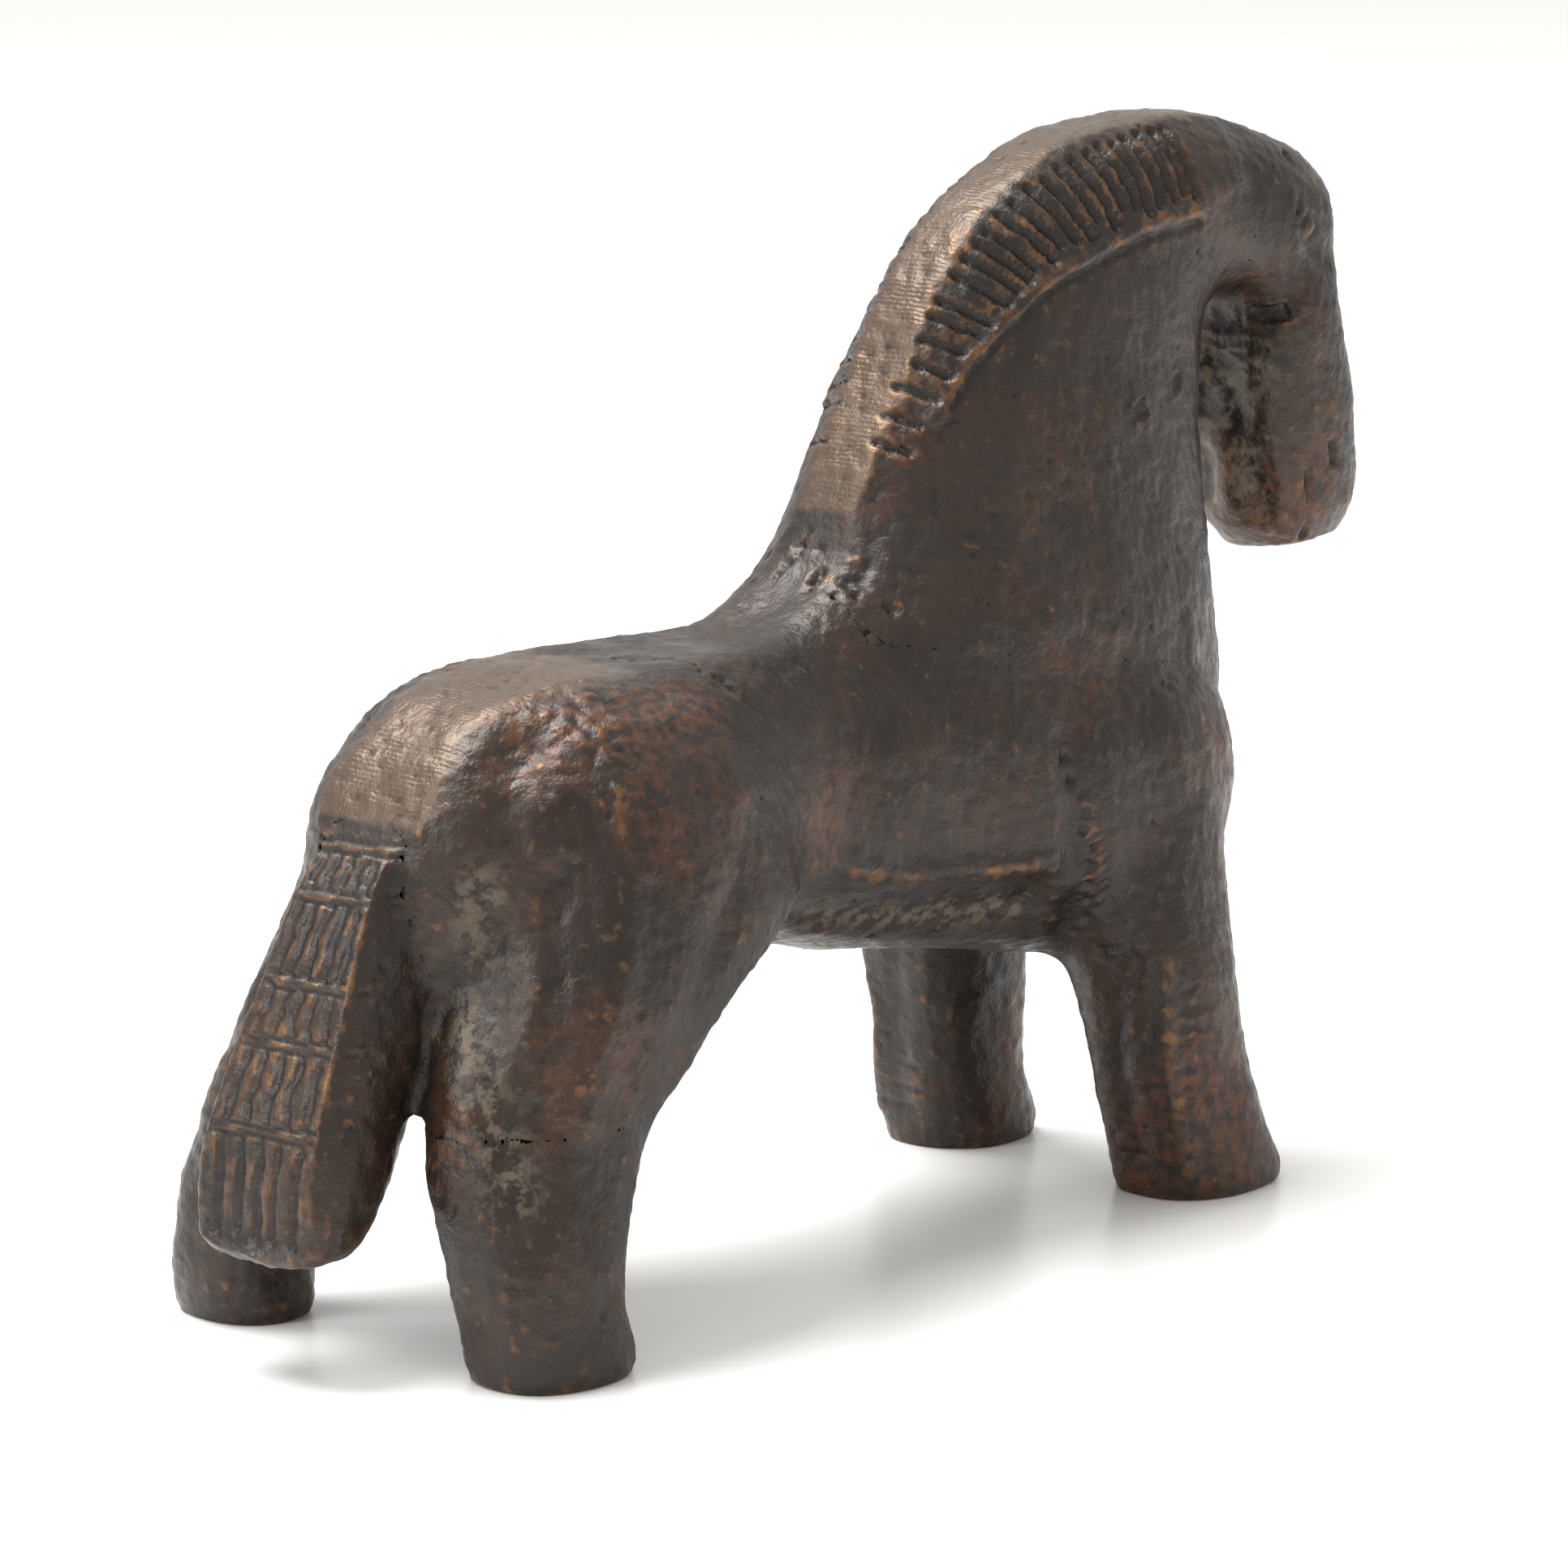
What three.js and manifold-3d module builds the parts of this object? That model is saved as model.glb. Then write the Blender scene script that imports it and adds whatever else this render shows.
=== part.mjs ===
// A small solid bronze horse with an arched neck, a tucked head and short square-cut legs.
// Millimetres. +X runs towards the head, +Y to the horse's left and +Z up. The origin is on the
// ground, in the middle of the horse's box. The figure is drawn as the masses that its wax was
// built up from, blended into one form and then parted again along flat joints.
import * as THREE from "three";
import { mergeVertices } from "three/addons/utils/BufferGeometryUtils.js";
import Module from "manifold-3d";

const wasm = await Module();
wasm.setup();

// --- Driving dimensions, in millimetres -------------------------------------------------------

const STANCE = 65.8; // hind foot centre to fore foot centre, along X
const HIND_TRACK = 25.2; // between the centres of the hind feet
const FORE_TRACK = 21.6; // between the centres of the fore feet

const BACK = 41.8; // ground to the flat of the back
const CREST = 73.2; // ground to the top of the arched crest
const BELLY = 18.4; // ground to the lowest part of the belly
const BROW_AHEAD = 22.1; // the brow stands this far in front of the centre of the fore feet

const HAUNCH_HALF = 15.2;
const WAIST_HALF = 9.9;
const CHEST_HALF = 13;
const NECK_HALF = 8; // half the neck's thickness, at mid height
const POLL_HALF = 6;
const CHEEK_HALF = 5.8;
const MUZZLE_HALF = 4.8;
const HEAD_LENGTH = 25.6; // brow to upper lip

const TAIL_ROOT_HALF = 3.6;
const TAIL_END_HALF = 6.1;
const TAIL_LIFT = 7.6; // ground to the tail's cut end

// The legs were cut by eye, so no two feet are alike. setback moves a whole foot to the rear, toe is
// how far the hoof's rim stands out in front, and lean carries the leg forward above its foot.
const FEET = {
  hindRight: { length: 10.4, half: 4.5, toe: 1.3, lean: 0, setback: 0 },
  hindLeft: { length: 9.6, half: 4.3, toe: -0.8, lean: 0.5, setback: 1.4 },
  foreRight: { length: 11.6, half: 4.9, toe: 1.2, lean: 0, setback: 0 },
  foreLeft: { length: 11, half: 4.8, toe: 0.1, lean: 1, setback: 0 },
};

const FLAT_DEPTH = 0.6; // what the file took off the crest, back and croup
const TAIL_FLAT_DEPTH = 1; // and off the back of the tail
const MANE_RAISE = 0.45; // how far the mane stands out from the side of the neck
const MANE_CUTS = 19;
const MANE_CUT_WIDTH = 0.55;
const COURSE_LINES = [0.045, 0.155, 0.35, 0.49, 0.685]; // shares of the tail's length
const COURSE_LINE = { width: 0.5, depth: 0.35 };
const MOUTH = { width: 0.5, depth: 3.4 };

const JOINT_GAP = 0.3; // between two neighbouring masses
const FORELEG_JOINT = BELLY - 3.8; // ground to the foreleg's flat joint
const HINDLEG_JOINT = BELLY - 2.8;

const FAR = 90; // past every part of the horse
const RING_SEGMENTS = 24;

// --- Places that several masses share ---------------------------------------------------------

const hindX = -STANCE / 2;
const foreX = STANCE / 2;
const along = (share) => hindX + share * STANCE; // 0 over the hind feet, 1 over the fore feet
const withersX = along(0.53);
const reach = foreX + BROW_AHEAD - withersX; // withers to brow, along X
const rise = (share) => BACK + share * (CREST - BACK); // 0 at the back, 1 at the crest

const at = (x, z, y = 0) => new THREE.Vector3(x, y, z);

// Topline of the neck from the withers to the brow: share of the reach forward, share of the rise.
const crestLine = [
  [-0.075, 0],
  [0.053, 0.11],
  [0.113, 0.3],
  [0.194, 0.52],
  [0.266, 0.71],
  [0.358, 0.855],
  [0.483, 0.955],
  [0.63, 0.998],
  [0.777, 0.992],
  [0.904, 0.93],
  [1, 0.845],
].map(([ahead, up]) => at(withersX + ahead * reach, rise(up)));

// Lower border of the mane, on the same scales.
const maneBorder = [
  [0.155, 0.3],
  [0.215, 0.44],
  [0.279, 0.56],
  [0.381, 0.69],
  [0.536, 0.78],
  [0.691, 0.8],
  [0.781, 0.86],
].map(([ahead, up]) => at(withersX + ahead * reach, rise(up)));

// Topline of the body, from the croup to the base of the neck: share of the stance, height.
const backLine = [
  [0.01, BACK - 3.9],
  [0.07, BACK - 1.3],
  [0.16, BACK - 0.1],
  [0.26, BACK],
  [0.37, BACK],
  [0.47, BACK + 0.1],
].map(([share, z]) => at(along(share), z));

// The back of the tail, from its root down to its cut end.
const tailLine = [
  [-2.4, 33.6],
  [-5.1, 30],
  [-7.7, 24.8],
  [-9.4, 20.8],
  [-11.3, 16.4],
  [-12.2, 12],
  [-12.4, TAIL_LIFT + 1],
].map(([behind, z]) => at(hindX + behind, z));

// --- Lofting and joining ------------------------------------------------------------------------

function asSolid(geometry) {
  geometry.deleteAttribute("normal");
  geometry.deleteAttribute("uv");
  const merged = mergeVertices(geometry, 1e-4);
  return new wasm.Manifold(
    new wasm.Mesh({
      numProp: 3,
      vertProperties: merged.attributes.position.array,
      triVerts: new Uint32Array(merged.index.array),
    }),
  );
}

function asGeometry(solid) {
  const mesh = solid.getMesh();
  const geometry = new THREE.BufferGeometry();
  geometry.setAttribute("position", new THREE.BufferAttribute(mesh.vertProperties, 3));
  geometry.setIndex(new THREE.BufferAttribute(mesh.triVerts, 1));
  geometry.computeVertexNormals();
  return geometry;
}

// A unit cylinder drawn out along its sections. A section's chord runs from its under point to its
// over point, half is its half width across the chord, and square is its superellipse exponent:
// 2 is an ellipse, and more is boxier.
function loft(sections, stepsPerSection = 2) {
  const steps = (sections.length - 1) * stepsPerSection;
  const unders = new THREE.CatmullRomCurve3(sections.map((s) => s.under));
  const overs = new THREE.CatmullRomCurve3(sections.map((s) => s.over));
  const shapes = new THREE.CatmullRomCurve3(
    sections.map((s) => new THREE.Vector3(s.half, s.square ?? 2.3, 0)),
  );
  const geometry = new THREE.CylinderGeometry(1, 1, 1, RING_SEGMENTS, steps);
  const position = geometry.attributes.position;
  for (let i = 0; i < position.count; i++) {
    const t = THREE.MathUtils.clamp(position.getY(i) + 0.5, 0, 1);
    const under = unders.getPoint(t);
    const over = overs.getPoint(t);
    const { x: half, y: square } = shapes.getPoint(t);
    const u = position.getX(i);
    const v = position.getZ(i);
    const radius = Math.hypot(u, v);
    const reach =
      radius < 1e-9 ? 0 : radius / (Math.abs(u) ** square + Math.abs(v) ** square) ** (1 / square);
    const point = over.clone().sub(under).multiplyScalar((u * reach + 1) / 2).add(under);
    position.setXYZ(i, point.x, point.y + v * reach * half, point.z);
  }
  return asSolid(geometry);
}

// A prism across the whole horse, with an outline drawn in the XZ plane.
function acrossTheHorse(outline) {
  const geometry = new THREE.ExtrudeGeometry(outline, {
    depth: 2 * FAR,
    bevelEnabled: false,
    curveSegments: 36,
  });
  geometry.rotateX(Math.PI / 2);
  geometry.translate(0, FAR, 0);
  return asSolid(geometry);
}

function block(low, high) {
  const size = high.clone().sub(low);
  const geometry = new THREE.BoxGeometry(size.x, size.y, size.z);
  const centre = low.clone().add(high).multiplyScalar(0.5);
  geometry.translate(centre.x, centre.y, centre.z);
  return asSolid(geometry);
}

const flat = (point) => new THREE.Vector2(point.x, point.z);
const polygon = (points) => new THREE.Shape(points.map(([x, z]) => new THREE.Vector2(x, z)));

// An over point, raised along its chord by what the file takes off again.
function proud(under, over, depth) {
  return over.clone().sub(under).setLength(depth).add(over);
}

// --- The masses -----------------------------------------------------------------------------------

function trunk() {
  const row = (share, low, top, half, square) => {
    const under = at(along(share), low);
    const over = top.isVector3 ? proud(under, top, FLAT_DEPTH) : at(along(share), top);
    return { under, over, half, square };
  };
  return loft([
    row(-0.05, 29, 32.5, 3),
    row(-0.035, 25, 35.4, 5.4),
    row(0.01, 20.4, backLine[0], HAUNCH_HALF - 5.8, 2.2),
    row(0.07, 19, backLine[1], HAUNCH_HALF - 3.4, 2.2),
    row(0.16, 19, backLine[2], HAUNCH_HALF - 1),
    row(0.26, BELLY + 2.8, backLine[3], HAUNCH_HALF - 1.2),
    row(0.37, BELLY + 3.6, backLine[4], WAIST_HALF + 1.7),
    row(0.47, BELLY + 2.8, backLine[5], WAIST_HALF),
    row(0.58, BELLY + 1.2, BACK + 0.8, WAIST_HALF + 0.4, 2.4),
    row(0.7, BELLY, BACK + 0.8, CHEST_HALF - 1.6, 2.4),
    row(0.83, BELLY - 1.5, BACK - 0.2, CHEST_HALF - 0.2, 2.4),
    row(0.94, BELLY - 2.2, BACK - 1.2, CHEST_HALF, 2.4),
    row(1.04, BELLY - 0.8, BACK - 3, CHEST_HALF - 1.4),
    row(1.1, BELLY + 3.4, BACK - 6, CHEST_HALF - 4.6),
    row(1.13, BELLY + 8, BACK - 11, CHEST_HALF - 9.6),
  ]);
}

// widen makes the same masses thicker from side to side.
function neckAndHead(widen = 0) {
  const throat = withersX + 0.804 * reach; // the hollow between the neck and the jaw
  const brow = crestLine[crestLine.length - 1];
  const row = (underX, underZ, over, half, square = 2.15) => {
    const under = at(underX, underZ);
    return { under, over: proud(under, over, FLAT_DEPTH), half: half + widen, square };
  };
  const faceRow = (jaw, jawDrop, face, faceDrop, half, square = 2.6) => ({
    under: at(brow.x + jaw, brow.z - jawDrop * HEAD_LENGTH),
    over: at(brow.x + face, brow.z - faceDrop * HEAD_LENGTH),
    half: half + widen,
    square,
  });
  return loft([
    row(foreX + 9.2, BELLY + 6.4, crestLine[0], CHEST_HALF - 2.6, 2.4),
    row(foreX + 10.7, rise(-0.25), crestLine[1], NECK_HALF + 2.8, 2.3),
    row(foreX + 10.4, rise(0.07), crestLine[2], NECK_HALF + 1),
    row(foreX + 9.7, rise(0.3), crestLine[3], NECK_HALF),
    row(throat - 1.6, rise(0.46), crestLine[4], NECK_HALF - 0.7),
    row(throat - 0.6, rise(0.55), crestLine[5], POLL_HALF + 0.7),
    row(throat + 0.5, rise(0.585), crestLine[6], POLL_HALF + 0.4),
    row(throat + 1.6, rise(0.59), crestLine[7], POLL_HALF + 0.1),
    row(throat + 2.7, rise(0.58), crestLine[8], POLL_HALF),
    row(throat + 3.6, rise(0.55), crestLine[9], POLL_HALF),
    row(throat + 4, rise(0.49), brow, CHEEK_HALF, 2.4),
    faceRow(-7.9, 0.47, 1.5, 0.2, CHEEK_HALF),
    faceRow(-7.6, 0.64, 3.3, 0.46, CHEEK_HALF - 0.2),
    faceRow(-6.9, 0.82, 4.9, 0.72, MUZZLE_HALF + 0.4),
    faceRow(-5.6, 0.97, 5.4, 0.9, MUZZLE_HALF),
    faceRow(-3.6, 1.05, 4, 1.02, MUZZLE_HALF - 1.1),
  ]);
}

function tail(grow = 0) {
  const row = (over, frontX, frontZ, half) => {
    const front = at(hindX + frontX + grow, frontZ);
    return {
      under: proud(front, over, TAIL_FLAT_DEPTH + grow),
      over: front,
      half: half + grow,
      square: 3.2,
    };
  };
  const widen = (TAIL_END_HALF - TAIL_ROOT_HALF) / 5;
  return loft([
    row(tailLine[0].clone().setZ(tailLine[0].z + 1.4 * grow), 5 + grow, 31 + grow, TAIL_ROOT_HALF),
    row(tailLine[1], 3, 27.5, TAIL_ROOT_HALF + 0.8 * widen),
    row(tailLine[2], 1, 23, TAIL_ROOT_HALF + 2.6 * widen),
    row(tailLine[3], -0.5, 19.4, TAIL_ROOT_HALF + 3.6 * widen),
    row(tailLine[4], -2.5, 15.6, TAIL_ROOT_HALF + 4.4 * widen),
    row(tailLine[5], -4.6, 12, TAIL_END_HALF),
    row(tailLine[6], -6.4, 9.4, TAIL_END_HALF - 0.2),
    row(at(hindX - 11.5, TAIL_LIFT - grow), -7.6, TAIL_LIFT + 0.4, TAIL_END_HALF - 1.2),
  ]);
}

// side is -1 for the right leg and 1 for the left one. A row is a horizontal section.
const legRow = (side, rearX, frontX, z, inset, half, square = 2.5) => ({
  under: at(rearX, z, side * inset),
  over: at(frontX, z, side * inset),
  half,
  square,
});

function hindLeg(side, { length, half, toe, lean, setback }) {
  const inset = HIND_TRACK / 2;
  const x = hindX - setback;
  const heel = -length / 2;
  const thigh = (rear, front, ...rest) => legRow(side, hindX + rear, hindX + front, ...rest);
  const shin = (rear, front, ...rest) => legRow(side, x + rear, x + front, ...rest);
  return loft([
    thigh(6, 21.4, 36.4, HAUNCH_HALF - 8.4, 5.2, 2.2),
    thigh(3.2, 24, 32.6, HAUNCH_HALF - 7.6, 6.6, 2.2),
    thigh(1.2, 26.2, 27.4, HAUNCH_HALF - 6.8, 6.7, 2.3),
    thigh(-2.2 + lean, 19.8, 22.3, HAUNCH_HALF - 6.3, 6.5, 2.3),
    shin(-4.6 + lean, 14 + setback, 17, HAUNCH_HALF - 5.8, 5.8, 2.4),
    shin(heel - 0.3 + lean, 9 + toe / 3, 13, inset - 2.2, half + 0.7),
    shin(heel - 0.2 + lean / 2, 6.2 + toe / 3, 8.6, inset - 0.8, half + 0.2),
    shin(heel, length / 2 + toe / 2, 4, inset, half),
    shin(heel + 0.6, length / 2 + toe, 1.4, inset, half + 0.2),
    shin(heel + 1.4, length / 2 + toe - 0.6, -0.8, inset, half - 0.4),
  ]);
}

function foreLeg(side, { length, half, toe, lean }) {
  const inset = FORE_TRACK / 2;
  const heel = -length / 2;
  const row = (rear, front, ...rest) => legRow(side, foreX + rear, foreX + front, ...rest);
  return loft([
    row(-11, 4, 29, CHEST_HALF - 5.6, 5.2, 2.2),
    row(-10.8, 3.4, 22, CHEST_HALF - 4.8, 5.6, 2.3),
    row(-9.4 + lean, 2.5 + lean, 15.5, inset - 0.9, half + 0.3),
    row(-8.5 + lean, 2.7 + lean, 12, inset - 0.5, half),
    row(-6.5 + lean / 2, 4.3, 5, inset, half - 0.1),
    row(heel, length / 2 + toe, 1.5, inset, half),
    row(heel + 0.8, length / 2 + toe - 0.6, -0.8, inset, half - 0.5),
  ]);
}

// --- What was cut with file and chisel -------------------------------------------------------------

// The outline that the topline, the back of the tail and the soles are filed to.
function filedOutline() {
  const topline = [...crestLine.slice(1).reverse(), ...[...backLine].reverse(), ...tailLine];
  const outline = new THREE.Shape();
  const brow = topline[0];
  outline.moveTo(FAR, 0);
  outline.lineTo(FAR, brow.z - 3);
  outline.lineTo(brow.x + 3.2, brow.z - 3);
  outline.splineThru(topline.map(flat));
  outline.lineTo(hindX - 20, TAIL_LIFT - 1);
  outline.lineTo(-FAR, 0);
  return outline;
}

// A slot of a given width, drawn from one point of the XZ plane to another.
function slot(from, to, width) {
  const sideways = to.clone().sub(from).setLength(width / 2);
  sideways.set(-sideways.z, 0, sideways.x);
  const corners = [
    from.clone().sub(sideways),
    to.clone().sub(sideways),
    to.clone().add(sideways),
    from.clone().add(sideways),
  ];
  return acrossTheHorse(new THREE.Shape(corners.map(flat)));
}

// The mane: a raised strip along each side of the crest, cut into locks.
function mane() {
  const crest = new THREE.CatmullRomCurve3(crestLine.slice(2, 9));
  const border = new THREE.CatmullRomCurve3(maneBorder);
  const strip = [...border.getPoints(16), ...crest.getPoints(16).reverse()];
  let raised = neckAndHead(MANE_RAISE).intersect(acrossTheHorse(new THREE.Shape(strip.map(flat))));
  for (let i = 1; i <= MANE_CUTS; i++) {
    const low = border.getPointAt(i / (MANE_CUTS + 1));
    const high = crest.getPointAt(i / (MANE_CUTS + 1));
    const start = low.clone().lerp(high, 0.12);
    raised = raised.subtract(slot(start, low.clone().lerp(high, 1.2), MANE_CUT_WIDTH));
  }
  return raised;
}

// A line across the back of the tail between each two courses of hair.
function courseLines() {
  const back = new THREE.CatmullRomCurve3(tailLine);
  return COURSE_LINES.map((share) => {
    const out = back.getTangentAt(share);
    out.set(out.z, 0, -out.x);
    const surface = back.getPointAt(share);
    const floor = surface.clone().addScaledVector(out, -COURSE_LINE.depth);
    return slot(floor, surface.clone().add(out), COURSE_LINE.width);
  });
}

function mouthSlot() {
  const brow = crestLine[crestLine.length - 1];
  const lips = at(brow.x + 1.2, brow.z - 1.1 * HEAD_LENGTH);
  return slot(lips.clone().setZ(lips.z + MOUTH.depth + 0.05 * HEAD_LENGTH), lips, MOUTH.width);
}

const outline = acrossTheHorse(filedOutline());
const masses = [
  neckAndHead(),
  mane(),
  hindLeg(-1, FEET.hindRight),
  hindLeg(1, FEET.hindLeft),
  foreLeg(-1, FEET.foreRight),
  foreLeg(1, FEET.foreLeft),
];
const blended = masses.reduce((whole, mass) => whole.add(mass), trunk());
const body = blended.intersect(outline).subtract(mouthSlot());
const filedTail = courseLines().reduce((whole, cut) => whole.subtract(cut), tail().intersect(outline));

// --- Parting the figure along its joints -----------------------------------------------------------

// The neck's root sits in the trunk on a short step behind and a slanting seat in front of it.
const seat = { x: withersX + 1.4, z: BACK - 0.6, slope: -0.155 };
const throatX = withersX + 0.823 * reach;
const throatZ = rise(0.58);
const poll = { lean: -0.17 }; // the poll joint runs back as it rises

// Each region grows, by grow, when its neighbours are cut back from it.
const regions = {
  head: (grow) =>
    acrossTheHorse(
      polygon(
        [
          [throatX - poll.lean * 22, throatZ - 22],
          [FAR, throatZ - 22],
          [FAR, CREST + 10],
          [throatX + poll.lean * (CREST + 10 - throatZ), CREST + 10],
        ].map(([x, z]) => [x - grow, z]),
      ),
    ),
  neck: (grow) =>
    acrossTheHorse(
      polygon([
        [seat.x - grow, seat.z - grow],
        [FAR, seat.z + seat.slope * (FAR - seat.x) - grow],
        [FAR, CREST + 10],
        [seat.x - grow, CREST + 10],
      ]),
    ),
  hindleg_right: (grow) => block(at(-FAR, -1, -FAR), at(0, HINDLEG_JOINT + grow, 0)),
  hindleg_left: (grow) => block(at(-FAR, -1, 0), at(0, HINDLEG_JOINT + grow, FAR)),
  foreleg_right: (grow) => block(at(0, -1, -FAR), at(FAR, FORELEG_JOINT + grow, 0)),
  foreleg_left: (grow) => block(at(0, -1, 0), at(FAR, FORELEG_JOINT + grow, FAR)),
};

const colours = {
  head: 0x45362a,
  neck: 0x413227,
  tail: 0x5a432f,
  hindleg_right: 0x4c3929,
  hindleg_left: 0x3c2e25,
  foreleg_right: 0x4a3728,
  foreleg_left: 0x36291f,
  trunk: 0x46382c,
};

const root = new THREE.Group();
root.name = "bronze_horse";
const middle = body.add(filedTail).boundingBox();
function addPiece(name, solid) {
  const colour = colours[name];
  const bronze = new THREE.MeshStandardMaterial({ color: colour, roughness: 0.45, metalness: 0.85 });
  const mesh = new THREE.Mesh(asGeometry(solid), bronze);
  mesh.name = name;
  mesh.position.x = -(middle.min[0] + middle.max[0]) / 2;
  mesh.position.y = -(middle.min[1] + middle.max[1]) / 2;
  root.add(mesh);
}
let rest = body.subtract(tail(JOINT_GAP));
for (const [name, region] of Object.entries(regions)) {
  addPiece(name, rest.intersect(region(0)));
  rest = rest.subtract(region(JOINT_GAP));
}
addPiece("trunk", rest);
addPiece("tail", filedTail);

export default root;
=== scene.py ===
"""An old solid bronze horse: cast, filed, chiselled and gone brown."""

import bmesh
import bpy
import numpy as np
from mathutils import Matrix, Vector
from mathutils.bvhtree import BVHTree


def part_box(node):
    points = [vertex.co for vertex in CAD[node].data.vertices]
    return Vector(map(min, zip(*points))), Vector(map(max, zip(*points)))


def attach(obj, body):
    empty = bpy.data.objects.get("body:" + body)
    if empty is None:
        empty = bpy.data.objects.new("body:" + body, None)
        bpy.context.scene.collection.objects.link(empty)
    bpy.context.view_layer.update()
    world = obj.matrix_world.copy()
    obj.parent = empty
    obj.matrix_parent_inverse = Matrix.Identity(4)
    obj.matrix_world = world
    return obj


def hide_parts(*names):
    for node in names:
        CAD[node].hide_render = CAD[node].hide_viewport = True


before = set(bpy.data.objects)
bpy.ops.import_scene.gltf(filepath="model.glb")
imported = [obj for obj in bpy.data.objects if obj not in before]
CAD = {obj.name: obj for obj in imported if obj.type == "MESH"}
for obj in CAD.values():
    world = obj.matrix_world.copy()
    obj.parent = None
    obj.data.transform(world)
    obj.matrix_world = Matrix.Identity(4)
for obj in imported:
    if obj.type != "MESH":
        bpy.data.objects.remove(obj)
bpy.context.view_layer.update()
MM = 0.001
VOXEL = 0.295  # mm between the points of the cast surface
SWELL = 0.24  # closes the 0.3 mm joints before the surface is cast, and is taken off again

# Landmarks in millimetres, taken from the CAD's own boxes.
FORE_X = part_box("foreleg_right")[1][0] / MM - 7.0
STANCE = 65.8
HIND_X = FORE_X - STANCE
WITHERS_X = HIND_X + 0.53 * STANCE
REACH = FORE_X + 22.1 - WITHERS_X
BACK, CREST_TOP = 41.8, 73.2
rng = np.random.default_rng(7)


# ---------------------------------------------------------------- the cast surface


def cast_surface():
    """The CAD masses, swollen shut at their joints and skinned as one casting."""
    joined = bmesh.new()
    for node in CAD.values():
        mass = bmesh.new()
        mass.from_mesh(node.data)
        bmesh.ops.remove_doubles(mass, verts=mass.verts, dist=1e-6)
        mass.normal_update()
        for vert in mass.verts:
            vert.co += vert.normal * SWELL * MM
        swollen = bpy.data.meshes.new("swollen")
        mass.to_mesh(swollen)
        mass.free()
        joined.from_mesh(swollen)
        bpy.data.meshes.remove(swollen)
    mesh = bpy.data.meshes.new("casting")
    joined.to_mesh(mesh)
    joined.free()
    casting = bpy.data.objects.new("casting", mesh)
    bpy.context.collection.objects.link(casting)
    bpy.ops.object.select_all(action="DESELECT")
    bpy.context.view_layer.objects.active = casting
    casting.select_set(True)
    skin = casting.modifiers.new("skin", "REMESH")
    skin.mode, skin.voxel_size = "VOXEL", VOXEL * MM
    bpy.ops.object.modifier_apply(modifier=skin.name)
    points = np.empty(len(casting.data.vertices) * 3)
    casting.data.vertices.foreach_get("co", points)
    quads = np.empty(len(casting.data.loops), np.int32)
    casting.data.loops.foreach_get("vertex_index", quads)
    bpy.data.objects.remove(casting)
    return points.reshape(-1, 3) / MM, quads.reshape(-1, 4)


points, quads = cast_surface()
edges = np.vstack([quads[:, [0, 1]], quads[:, [1, 2]], quads[:, [2, 3]], quads[:, [3, 0]]])
edges = np.unique(np.sort(edges, 1), axis=0)
valence = np.bincount(edges.ravel(), minlength=len(points))[:, None]


def normals():
    a, b, c, d = (points[quads[:, i]] for i in range(4))
    across = np.cross(c - a, d - b)
    total = np.zeros_like(points)
    for i in range(4):
        for k in range(3):
            total[:, k] += np.bincount(quads[:, i], across[:, k], len(points))
    return total / np.maximum(np.linalg.norm(total, axis=1), 1e-12)[:, None]


def neighbour_mean(values):
    total = np.zeros_like(values)
    for k in range(values.shape[1]):
        total[:, k] += np.bincount(edges[:, 0], values[edges[:, 1], k], len(values))
        total[:, k] += np.bincount(edges[:, 1], values[edges[:, 0], k], len(values))
    return total / valence


def relax(rounds, hollows=1.0, rises=1.0, where=1.0):
    """Runs the surface together like wax, filling hollows and wearing rises by their own shares."""
    global points
    for _ in range(rounds):
        step = neighbour_mean(points) - points
        out = np.einsum("ij,ij->i", step, normals())
        share = np.where(out > 0, hollows, rises) * where
        points = points + step * (0.6 * share)[:, None]


def smooth_step(value, low, high):
    t = np.clip((value - low) / (high - low), 0, 1)
    return t * t * (3 - 2 * t)


def lumps(size, seed, waves=28):
    """A smooth random height between about -1 and 1, with lumps of a size in millimetres."""
    rand = np.random.default_rng(seed)
    turn = rand.normal(size=(waves, 3))
    turn *= (2 * np.pi / size / np.linalg.norm(turn, axis=1) * rand.uniform(0.6, 1.5, waves))[:, None]
    phase = rand.uniform(0, 2 * np.pi, waves)
    total = np.zeros(len(points))
    for way, start in zip(turn, phase):
        total += np.cos(points @ way + start)
    return total / np.sqrt(waves)


def from_path(path):
    """Each point's distance to a path through 3D points."""
    path = np.asarray(path, float)
    near = np.full(len(points), 1e9)
    for a, b in zip(path[:-1], path[1:]):
        run = b - a
        t = np.clip((points - a) @ run / max(run @ run, 1e-9), 0, 1)
        near = np.minimum(near, np.linalg.norm(points - a - t[:, None] * run, axis=1))
    return near


def raise_by(height):
    global points
    points = points + normals() * height[:, None]


def stroke(path, width, height, sharp=1.0):
    """One groove (height below 0) or ridge along a path, half of width to each side."""
    return height * np.clip(1 - from_path(path) / (width / 2), 0, 1) ** sharp


def soft_stroke(path, width, height):
    return height * np.exp(-((from_path(path) / (width / 2.2)) ** 2))


def on_side(x, z, side):
    """The place on the horse's flank, cheek or neck straight beside a point of its profile."""
    away = np.hypot(points[:, 0] - x, points[:, 2] - z) - 0.02 * side * points[:, 1]
    away[side * points[:, 1] < 0.3] = 1e9
    return points[np.argmin(away)]


def on_tail(y, z):
    away = np.hypot(points[:, 1] - y, points[:, 2] - z) + 0.02 * points[:, 0]
    away[points[:, 0] > HIND_X - 1.2] = 1e9
    return points[np.argmin(away)]


def on_top(x, y):
    away = np.hypot(points[:, 0] - x, points[:, 1] - y) - 0.02 * points[:, 2]
    return points[np.argmin(away)]


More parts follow.
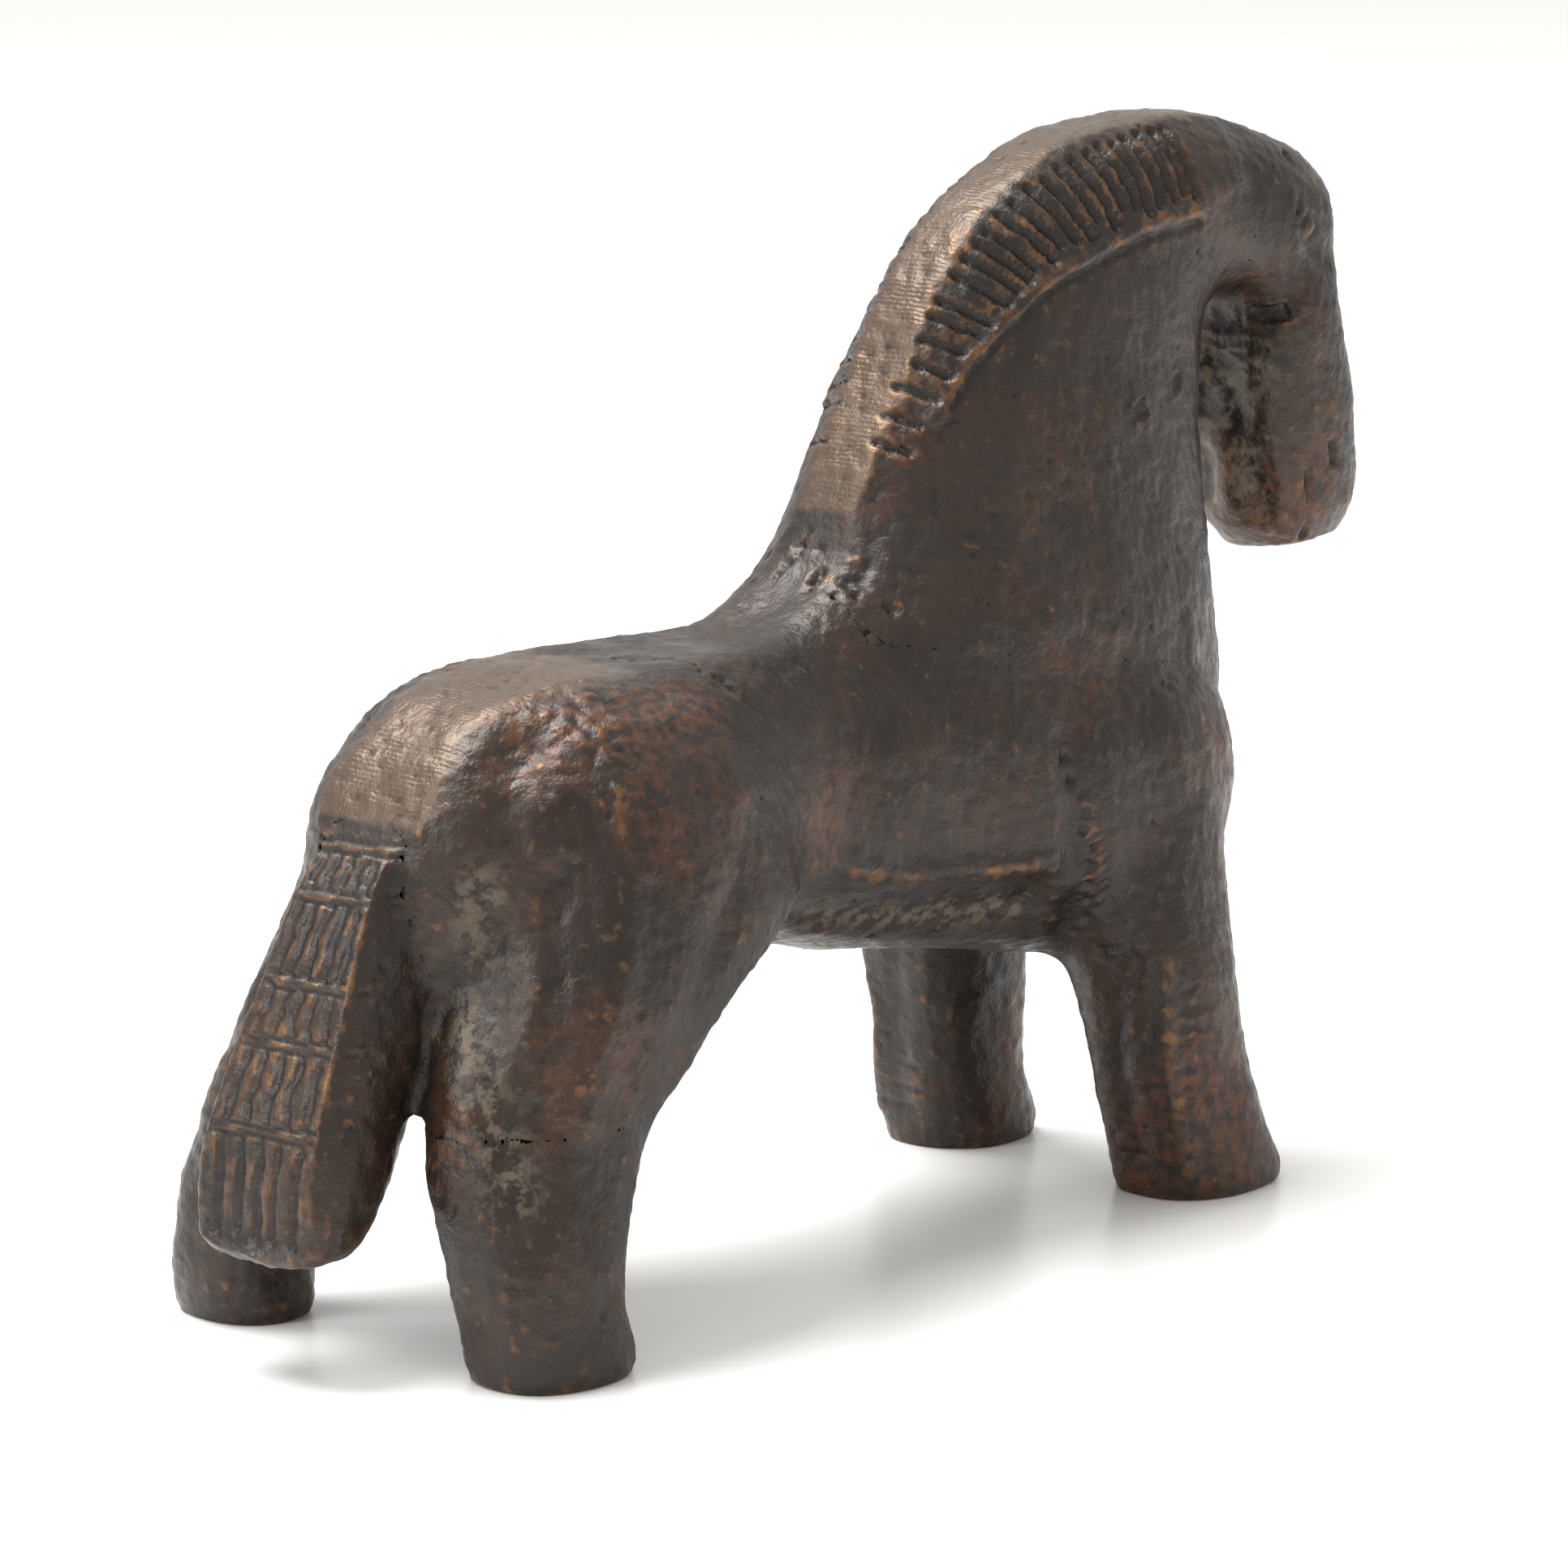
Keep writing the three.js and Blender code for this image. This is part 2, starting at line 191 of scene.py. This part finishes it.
def body(ahead, up):
    """A place in profile: a share of the stance from the hind feet, and of the back's height."""
    return HIND_X + ahead * STANCE, up * BACK


def neck(ahead, up):
    """A place in profile: a share of the neck's reach, and of its rise from back to crest."""
    return WITHERS_X + ahead * REACH, BACK + up * (CREST_TOP - BACK)


def along(places, side):
    return [on_side(x, z, side) for x, z in places]


def spline(knots, count):
    knots = np.asarray(knots, float)
    run = np.r_[0, np.cumsum(np.linalg.norm(np.diff(knots, axis=0), axis=1))]
    at = np.linspace(0, run[-1], count)
    return np.stack([np.interp(at, run, knots[:, k]) for k in range(knots.shape[1])], 1)


def rim_line(hub, from_angle, to_angle):
    """The outline of the casting's middle, as seen from the side, swept round a hub."""
    middle_run = points[(np.abs(points[:, 1]) < 2) & (points[:, 0] > HIND_X - 3)][:, [0, 2]] - hub
    angle = np.degrees(np.arctan2(middle_run[:, 1], middle_run[:, 0]))
    far = np.hypot(*middle_run.T)
    line = []
    for turned in np.arange(from_angle, to_angle, -2.0):
        reach = far[np.abs(angle - turned) < 1].max()
        line.append(hub + reach * np.array([np.cos(np.radians(turned)), np.sin(np.radians(turned))]))
    return spline(line, 200)


crest = rim_line(np.array([FORE_X + 2, BACK + 3.5]), 172, 50)
croup = rim_line(np.array([HIND_X + 14, 0.6 * BACK]), 150, 80)


def across_mane(share, depth):
    """A place below the crest, at a share of its run: depth 0 is the crest and 1 the mane's lip."""
    i = int(share * 199)
    way = crest[min(i + 4, 199)] - crest[max(i - 4, 0)]
    way /= np.linalg.norm(way)
    width = 6.5 * (0.28 + 0.72 * smooth_step(share, 0.05, 0.55))
    return crest[i] + depth * width * np.array([way[1], -way[0]])


# ---------------------------------------------------------------- the wax, run together

raise_by(np.full(len(points), -SWELL))
foot = smooth_step(points[:, 2], 2.5, 0.8)
relax(10, 0.9, 0.25, 1 - foot)
tail_back = smooth_step(HIND_X - points[:, 0], 1.0, 3.0) * smooth_step(np.abs(points[:, 1]), 7.5, 6.5)
relax(70, 1.0, 0.1, (1 - foot) * (1 - tail_back))
raise_by(0.11 * lumps(8, 1) + 0.03 * lumps(2.6, 2) * (1 - foot))

# ---------------------------------------------------------------- hollows and ridges of the body

VALLEY = [body(0.06, 0.92), body(0, 0.72), body(-0.04, 0.5), body(-0.05, 0.3)]
BELLY_EDGE = [body(0.42, 0.67), body(0.56, 0.62), body(0.76, 0.6)]
UNDER_BELLY = [body(0.45, 0.57), body(0.6, 0.54), body(0.74, 0.53)]
JAW = [neck(0.84, 0.42), neck(0.86, 0.3)]
CHIN = [neck(0.875, 0.19), neck(0.89, 0.12)]

shape = np.zeros(len(points))
for side in (-1, 1):
    ease = 1.0 if side < 0 else 0.8
    hock = [body(0.05, 0.74), body(0.02, 0.58), body(-0.02, 0.42)]
    thigh_ridge = [body(0.12, 0.84), body(0.08, 0.62), body(0.02, 0.4)]
    thigh_front = [body(0.25, 0.74), body(0.19, 0.57), body(0.12, 0.36)]
    shin_edge = [body(0.89, 0.42), body(0.905, 0.22), body(0.93, 0.06)]
    behind_shin = [body(0.86, 0.42), body(0.87, 0.22), body(0.9, 0.06)]
    shoulder = [body(0.77, 0.8), body(0.78, 0.63), body(0.82, 0.48)]
    shape += ease * soft_stroke(along(VALLEY, side), 4.6, -0.85)
    shape += ease * soft_stroke(along(hock, side), 2.6, -0.42)
    shape += ease * soft_stroke(along(thigh_ridge, side), 3.4, 0.5)
    shape += ease * soft_stroke(along(thigh_front, side), 3.6, -0.35)
    shape += soft_stroke(along(BELLY_EDGE, side), 1.9, 0.5)
    shape += soft_stroke(along(UNDER_BELLY, side), 4.0, -0.7)
    shape += soft_stroke(along(shin_edge, side), 1.5, 0.42)
    shape += soft_stroke(along(behind_shin, side), 3.0, -0.45)
    shape += soft_stroke(along(shoulder, side), 2.4, -0.45)
    shape += soft_stroke(along(JAW, side), 3.6, -1.0)
    shape += soft_stroke(along(CHIN, side), 3.2, -0.9)
    shape += soft_stroke(along([neck(0.94, 0.68), neck(0.965, 0.66)], side), 3.0, -0.5)
raise_by(shape)
relax(3, 0.6, 0.4)

# ---------------------------------------------------------------- mane, tail and head, chiselled

cuts = np.zeros(len(points))
for side in (-1, 1):
    cuts += stroke(along([across_mane(s, 1) for s in np.linspace(0.14, 0.72, 30)], side), 1.7, 0.34)
    cuts += stroke(along([across_mane(s, 1.15) for s in np.linspace(0.16, 0.72, 30)], side), 0.8, -0.3)
    for i in range(24):
        share = i / 23
        at = 0.09 + 0.62 * share ** 0.9 + rng.normal() * 0.004
        depths = np.linspace(0.16, rng.uniform(0.74, 0.9), 6)
        wide = 0.62 + 0.3 * share + rng.uniform(-0.1, 0.1)
        path = along([across_mane(at, depth) for depth in depths], side)
        cuts += stroke(path, wide, -(0.42 + 0.14 * share), 0.8)
raise_by(cuts)

cuts = np.zeros(len(points))
tail_low, tail_top = (corner[2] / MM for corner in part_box("tail"))
COURSE_SHARES = [0.045, 0.155, 0.35, 0.49, 0.685]  # the tail's double lines, as in the CAD
line_heights = [tail_top - share * (tail_top - tail_low) for share in COURSE_SHARES]
halves = [3.4 + 3.2 * share for share in COURSE_SHARES]
for z, half in zip(line_heights, halves):
    for gap in (-0.32, 0.32):
        path = [on_tail(y, z + gap - 0.05 * y + rng.normal() * 0.05) for y in np.linspace(-half, half, 9)]
        cuts += stroke(path, 0.5, -0.26)
courses = list(zip([*line_heights, tail_low + 1], [*halves, 5.6]))
for (high, wide_high), (low, wide_low) in zip(courses[:-1], courses[1:]):
    for k in range(1, 6):
        y = (k / 3 - 1) * 0.94
        path = [on_tail((y + rng.normal() * 0.02) * (wide_high + (wide_low - wide_high) * t),
                        high - 0.7 + (low - high + 1.3) * t) for t in np.linspace(0, 1, 5)]
        cuts += stroke(path, 0.85 + rng.uniform(-0.2, 0.3), -0.3)
for side in (-1, 1):
    eye = on_side(*neck(0.915, 0.735), side)
    away = np.linalg.norm(points - eye, axis=1)
    cuts += 0.34 * np.clip(1 - (away / 0.75) ** 2, 0, 1) - 0.16 * np.exp(-(((away - 1) / 0.24) ** 2))
    cuts += stroke(along([neck(0.9, 0.9), neck(0.89, 0.77)], side), 0.7, -0.3)
    cuts += stroke(along([neck(0.945, 0.17), neck(0.965, 0.02)], side), 0.7, -0.55)
    cuts += stroke(along([neck(0.99, 0.23), neck(0.995, 0.19)], side), 0.9, -0.35)
    throat_marks = (neck(0.525, 0.39), 0.35), (neck(0.62, 0.43), 0.1)
    cheek_marks = (neck(0.86, 0.46), 0.5), (neck(0.885, 0.54), 0.25)
    for (x, z), tilt in throat_marks + cheek_marks:
        size = 0.68
        rel = points - on_side(x, z, side)
        u = rel[:, 0] * np.cos(tilt) + rel[:, 2] * np.sin(tilt)
        v = rel[:, 2] * np.cos(tilt) - rel[:, 0] * np.sin(tilt)
        square = np.maximum(np.abs(u), np.abs(v)) / size
        here = np.linalg.norm(rel, axis=1) < 2.4
        cuts += here * (-0.2 * smooth_step(square, 1, 0.75) + 0.14 * np.exp(-(((square - 1.15) / 0.2) ** 2)))
raise_by(cuts)

# ---------------------------------------------------------------- chisel chatter, pits and knocks

cuts = np.zeros(len(points))


def pit(place, radius, depth):
    away = np.linalg.norm(points - place, axis=1)
    return -depth * np.clip(1 - (away / radius) ** 2, 0, 1)


for side in (-1, 1):
    for _ in range(16):
        x, z = neck(0.055, 0.11) + rng.normal(size=2) * 1.2
        cuts += pit(on_side(x, z, side), rng.uniform(0.25, 0.6), rng.uniform(0.15, 0.38))
    for t in np.linspace(0, 1, 12):
        x, z = body(0.775 + 0.07 * t, 0.77 - 0.34 * t)
        place = on_side(x + rng.normal() * 0.25, z, side)
        cuts += pit(place, rng.uniform(0.3, 0.65), rng.uniform(0.15, 0.35))
    for i in range(13):
        x, z = body(0.79, 0.62)
        x, z = x + 0.36 * i, z - 0.72 * i
        cuts += stroke(along([(x, z), (x + 1.5, z + 0.9)], side), 0.42, -0.16)
    for i in range(10):
        x, z = body(0.905, 0.36)
        z = z - 1.35 * i + rng.normal() * 0.2
        cuts += stroke(along([(x, z), (x + 1.2, z + 0.3)], side), 0.6, -0.18)
    for _ in range(26):
        x, z = body(rng.uniform(0.4, 0.79), rng.uniform(0.49, 0.6))
        cuts += pit(on_side(x, z, side), rng.uniform(0.2, 0.5), rng.uniform(0.1, 0.3))
for t in np.linspace(0, 1, 14):
    place = on_top(body(0.28 + 0.06 * t, 0)[0], -1.5 - 7 * t) + rng.normal(size=3) * 0.2
    cuts += pit(place, rng.uniform(0.25, 0.45), 0.3)
for _ in range(150):
    place = points[rng.integers(len(points))]
    cuts += pit(place, rng.uniform(0.18, 0.42), rng.uniform(0.06, 0.2))
haunch_top = np.exp(-(((points[:, 0] + 31) / 5) ** 2) - ((np.abs(points[:, 1]) - 8) / 4) ** 2)
haunch_top *= points[:, 2] > 36
cuts += 0.07 * lumps(1.1, 3) * haunch_top + 0.03 * lumps(1.3, 4) + 0.018 * lumps(0.75, 5)
cuts *= smooth_step(points[:, 2], 0.05, 0.5)
raise_by(cuts)
points[:, 2] = np.maximum(points[:, 2], 0)

# ---------------------------------------------------------------- what age left, point by point

normal = normals()
fine = points.copy()
for _ in range(5):
    fine = neighbour_mean(fine)
hollow_fine = np.einsum("ij,ij->i", fine - points, normal)
top_run = np.abs(points[:, 1]) < 6.5
crest_away = np.full(len(points), 1e9)
run_at = np.zeros(len(points))
topline = np.vstack([croup[::8], crest[::6]])
runs = np.r_[0, np.cumsum(np.linalg.norm(np.diff(topline, axis=0), axis=1))]
profile = points[:, [0, 2]]
for a, b, run in zip(topline[:-1], topline[1:], runs):
    way = b - a
    t = np.clip((profile - a) @ way / (way @ way), 0, 1)
    away = np.linalg.norm(profile - a - t[:, None] * way, axis=1)
    nearer = away < crest_away
    crest_away[nearer] = away[nearer]
    run_at[nearer] = (run + t * np.linalg.norm(way))[nearer]
# The filed top band along crest, back and croup, on faces that look up. Its lighter colour is partly filed
# metal and partly a painted highlight of the light from above.
filed_and_highlight = smooth_step(crest_away, 0.75, 0.3) * top_run * smooth_step(np.abs(normal[:, 1]), 0.5, 0.3)
clay = np.zeros(len(points))
for side in (-1, 1):
    lodged = (JAW, 5), (CHIN, 4.4), (VALLEY[1:], 3.4), (UNDER_BELLY, 3)
    for path, width in lodged:
        clay += np.exp(-((from_path(along(path, side)) / (width / 2)) ** 2))
clay = np.clip(clay, 0, 1)

TRAITS = {
    "hollow": np.clip(hollow_fine / 0.06, -1, 1) * 0.5 + 0.5,
    "filed_and_highlight": filed_and_highlight,
    "run": run_at,
    "clay": clay,
}

# ---------------------------------------------------------------- parting the casting in pieces

middle = points[quads].mean(1)
x, y, z = middle.T


def skin_of(name):
    mesh = CAD[name].data
    corners = [tuple(vert.co / MM) for vert in mesh.vertices]
    return BVHTree.FromPolygons(corners, [tuple(face.vertices) for face in mesh.polygons])


# The tail's own faces are those that lie nearer to its CAD mass than to what it hangs between.
in_tail = np.zeros(len(quads), bool)
tail_skin = skin_of("tail")
beside = [skin_of(name) for name in ("trunk", "hindleg_left", "hindleg_right")]
for i in np.flatnonzero((x < HIND_X + 7) & (np.abs(y) < 7.5) & (z > 7) & (z < tail_top + 1)):
    place = middle[i].tolist()
    in_tail[i] = tail_skin.find_nearest(place)[3] < min(skin.find_nearest(place)[3] for skin in beside)
share = in_tail.astype(float)
for _ in range(12):
    at_corner = np.bincount(quads.ravel(), np.repeat(share, 4), len(points)) / np.bincount(quads.ravel())
    share = at_corner[quads].mean(1)
in_tail = share > 0.5
in_head = (x > WITHERS_X + 0.823 * REACH - 0.17 * (z - BACK - 0.58 * (CREST_TOP - BACK))) & (z > 38)
seat_x = WITHERS_X + 1.4
fore_top, hind_top = (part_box(leg)[1][2] / MM for leg in ("foreleg_right", "hindleg_right"))
in_neck = (x > seat_x) & (z > BACK - 0.6 - 0.155 * (x - seat_x))
belongs = np.select(
    [in_tail, in_head, in_neck, (x > 0) & (z < fore_top) & (y < 0), (x > 0) & (z < fore_top),
     (x < 0) & (z < hind_top) & (y < 0), (x < 0) & (z < hind_top)],
    ["tail", "head", "neck", "foreleg_right", "foreleg_left", "hindleg_right", "hindleg_left"],
    "trunk",
)


def piece_of(name):
    """One mass of the casting, closed across its joints, with the shading of the whole."""
    own = quads[belongs == name]
    used, local = np.unique(own, return_inverse=True)
    mesh = bpy.data.meshes.new(name + "_bronze")
    mesh.from_pydata(points[used] * MM, [], local.reshape(-1, 4).tolist())
    shell = bmesh.new()
    shell.from_mesh(mesh)
    rim = [e for e in shell.edges if e.is_boundary]
    caps = bmesh.ops.holes_fill(shell, edges=rim, sides=0)["faces"]
    for cap in caps:
        shared = next((loop for loop in cap.loops if len(loop.edge.link_faces) == 2), None)
        if shared and shared.link_loop_radial_next.vert == shared.vert:
            cap.normal_flip()
    bmesh.ops.triangulate(shell, faces=[f for f in shell.faces if len(f.verts) > 4])
    shell.to_mesh(mesh)
    shell.free()
    for trait, values in TRAITS.items():
        mesh.attributes.new(trait, "FLOAT", "POINT").data.foreach_set("value", values[used])
    mesh.shade_smooth()
    mesh.normals_split_custom_set_from_vertices(normal[used].tolist())
    piece = bpy.data.objects.new(name + "_bronze", mesh)
    bpy.context.collection.objects.link(piece)
    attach(piece, "root")
    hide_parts(name)
    return piece


pieces = [piece_of(name) for name in CAD]

# ---------------------------------------------------------------- finishes


def linear(hex_colour):
    channels = [int(hex_colour[i : i + 2], 16) / 255 for i in (1, 3, 5)]
    return [c / 12.92 if c <= 0.04045 else ((c + 0.055) / 1.055) ** 2.4 for c in channels] + [1]


def add(tree, kind, inputs=None, out=0, **settings):
    """Adds a node with its settings, links or sets its inputs, and gives back one output."""
    node = tree.nodes.new(kind)
    for key, value in settings.items():
        setattr(node, key, value)
    for key, value in (inputs or {}).items():
        if isinstance(value, bpy.types.NodeSocket):
            tree.links.new(value, node.inputs[key])
        else:
            node.inputs[key].default_value = value
    return node.outputs[out] if node.outputs else None


def finish_named(name):
    material = bpy.data.materials.new(name)
    material.use_nodes = True
    material.node_tree.nodes.clear()
    return material, material.node_tree


def aged_bronze():
    """Cast tin bronze under an old brown patina.

    Brown oxide, waxed by handling: dark and half glossy. Where hands and files reach, warm metal
    comes through; the grey brown of the filed top band is partly filed metal and partly a painted
    highlight of the light from above. Chisel cuts and all other hollows are painted nearly black as
    shade, and pale burial clay is left in the deep hollows.
    """
    material, tree = finish_named("aged_bronze")
    spot = add(tree, "ShaderNodeTexCoord", out="Object")
    value = {name: add(tree, "ShaderNodeAttribute", out="Fac", attribute_name=name) for name in TRAITS}

    # Clouds of tone and grain: name, size in millimetres, detail, roughness.
    for name, size, detail, rough in (
        ("brown_cloud", 9, 4, 0.55), ("grey_cloud", 14, 3, 0.55), ("warm_cloud", 16, 5, 0.6),
        ("warm_specks", 0.9, 4, 0.55), ("rub_specks", 1.6, 4, 0.55), ("clay_specks", 1.1, 5, 0.65),
        ("dust", 0.7, 2, 0.55), ("file_wander", 1.5, 4, 0.55), ("file_wear", 2.2, 4, 0.55),
        ("cast_grain", 0.32, 3, 0.55), ("cast_skin", 1.3, 4, 0.55), ("wax", 2.4, 5, 0.55),
    ):
        value[name] = add(tree, "ShaderNodeTexNoise", {
            "Vector": spot, "Scale": 1000 / size, "Detail": detail, "Roughness": rough,
        })

    # Where each tone starts and is full: name, source, from low, from high, to low, to high.
    # hollow_shade is painted shade: the hollows of the surface are darkened up to 0.75 toward near black.
    for name, source, low, high, to_low, to_high in (
        ("brown", "brown_cloud", 0.35, 0.65, 0, 1), ("grey", "grey_cloud", 0.48, 0.64, 0, 0.7),
        ("warm_zone", "warm_cloud", 0.5, 0.66, 0, 1), ("warm_grain", "warm_specks", 0.4, 0.6, 0, 1),
        ("sharp", "hollow", 0.2, 0.0, 0, 1), ("rubbed", "rub_specks", 0.42, 0.66, 0, 1),
        ("hollow_shade", "hollow", 0.62, 0.9, 0, 0.75), ("caught", "clay_specks", 0.47, 0.58, 0, 1),
        ("dusty", "dust", 0.68, 0.74, 0, 1), ("unworn", "file_wear", 0.4, 0.62, 0.1, 0.9),
        ("sheen", "wax", 0.3, 0.7, 0.3, 0.5),
    ):
        value[name] = add(tree, "ShaderNodeMapRange", {
            "Value": value[source], "From Min": low, "From Max": high, "To Min": to_low, "To Max": to_high,
        })

    # Cast grain of about 0.3 mm, and file teeth 0.35 mm apart on the filed bands.
    # The filed band's grey-brown colour share is partly filed metal and partly a painted highlight; its file
    # teeth are real bumps.
    for name, operation, a, b in (
        ("warm", "MULTIPLY", "warm_zone", "warm_grain"), ("warm_share", "MULTIPLY", "warm", 0.28),
        ("filed_and_highlight_share", "MULTIPLY", "filed_and_highlight", 0.5),
        ("edge", "MULTIPLY", "sharp", "rubbed"), ("edge_share", "MULTIPLY", "edge", 0.5),
        ("lodged", "MULTIPLY", "clay", "caught"), ("lodged_share", "MULTIPLY", "lodged", 0.65),
        ("dust_share", "MULTIPLY", "dusty", 0.2), ("clay_share", "MAXIMUM", "lodged_share", "dust_share"),
        ("strokes", "MULTIPLY", "run", 2 * np.pi / 0.35), ("wander", "MULTIPLY", "file_wander", 9.0),
        ("wave", "ADD", "strokes", "wander"), ("teeth", "SINE", "wave", 0.0),
        ("filed_teeth", "MULTIPLY", "teeth", "filed_and_highlight"),
        ("seen_teeth", "MULTIPLY", "filed_teeth", "unworn"),
        ("fine", "MULTIPLY", "cast_grain", 1.4), ("coarse", "MULTIPLY", "cast_skin", 2.2),
        ("grain", "ADD", "fine", "coarse"), ("teeth_rise", "MULTIPLY", "seen_teeth", 0.22),
        ("bare_rise", "ADD", "grain", "teeth_rise"), ("clay_rise", "MULTIPLY", "clay_share", 0.6),
        ("height", "ADD", "bare_rise", "clay_rise"),
        ("clay_matt", "MULTIPLY", "clay_share", 0.35), ("roughness", "ADD", "sheen", "clay_matt"),
        ("edge_bare", "MULTIPLY", "edge", 0.35), ("filed_bare", "MULTIPLY", "filed_and_highlight", 0.25),
        ("bare", "ADD", "edge_bare", "filed_bare"), ("metallic", "ADD", "bare", 0.28),
    ):
        second = value[b] if isinstance(b, str) else b
        value[name] = add(tree, "ShaderNodeMath", {0: value[a], 1: second}, operation=operation)

    # Laid over the brown in this order.
    # The near-black hollow_shade layer is painted shade in the hollows.
    colour = linear("#1a130e")
    for share, tone in (
        ("brown", "#2d2017"), ("grey", "#23201d"), ("warm_share", "#8a4f22"), ("filed_and_highlight_share", "#6e5c4c"),
        ("edge_share", "#8b6440"), ("hollow_shade", "#17110c"), ("clay_share", "#6d6150"),
    ):
        layers = {0: value[share], 6: colour, 7: linear(tone)}
        colour = add(tree, "ShaderNodeMix", layers, out=2, data_type="RGBA")
    bump = add(tree, "ShaderNodeBump", {"Height": value["height"], "Strength": 0.55, "Distance": 0.00009})
    shader = add(tree, "ShaderNodeBsdfPrincipled", {
        "Base Color": colour, "Roughness": value["roughness"], "Metallic": value["metallic"],
        "Normal": bump,
    })
    add(tree, "ShaderNodeOutputMaterial", {"Surface": shader})
    return material


def white_acrylic():
    """A white acrylic sheet: even, faintly glossy, so that feet mirror softly in it."""
    material, tree = finish_named("white_acrylic")
    shader = add(tree, "ShaderNodeBsdfPrincipled", {
        "Base Color": linear("#f4f3f1"), "Roughness": 0.28, "Specular IOR Level": 0.35,
    })
    add(tree, "ShaderNodeOutputMaterial", {"Surface": shader})
    return material


bronze = aged_bronze()
for piece in pieces:
    piece.data.materials.append(bronze)

# ---------------------------------------------------------------- stage, light and camera

bpy.ops.object.select_all(action="DESELECT")
bpy.ops.mesh.primitive_plane_add(size=8)
sheet = bpy.context.object
sheet.name = "sheet"
sheet.data.materials.append(white_acrylic())

world = bpy.data.worlds.new("room")
bpy.context.scene.world = world
world.use_nodes = True
world.node_tree.nodes["Background"].inputs["Color"].default_value = linear("#fbfaf8")
world.node_tree.nodes["Background"].inputs["Strength"].default_value = 0.95


def softbox(name, place, size, watts, aim=(0, 0, 0.035)):
    lamp = bpy.data.lights.new(name, "AREA")
    lamp.shape, lamp.size, lamp.energy = "DISK", size, watts
    holder = bpy.data.objects.new(name, lamp)
    bpy.context.collection.objects.link(holder)
    holder.location = place
    holder.rotation_euler = (Vector(aim) - Vector(place)).to_track_quat("-Z", "Y").to_euler()


softbox("overhead", (-0.1, 0.25, 0.75), 0.5, 10)
softbox("left_rear", (-0.7, 0.2, 0.45), 0.4, 3)

TARGET = Vector((FORE_X - 30.0, 0.05, 31)) * MM
turn, rise = np.radians(47), np.radians(10.8)
back = Vector((-np.sin(turn) * np.cos(rise), -np.cos(turn) * np.cos(rise), np.sin(rise)))
lens = bpy.data.cameras.new("camera")
lens.lens, lens.sensor_width, lens.clip_start = 155.5, 36, 0.01
camera = bpy.data.objects.new("camera", lens)
bpy.context.collection.objects.link(camera)
camera.location = TARGET + back * 0.45
camera.rotation_euler = (-back).to_track_quat("-Z", "Y").to_euler()
bpy.context.scene.camera = camera
bpy.context.scene.view_settings.view_transform = "Standard"
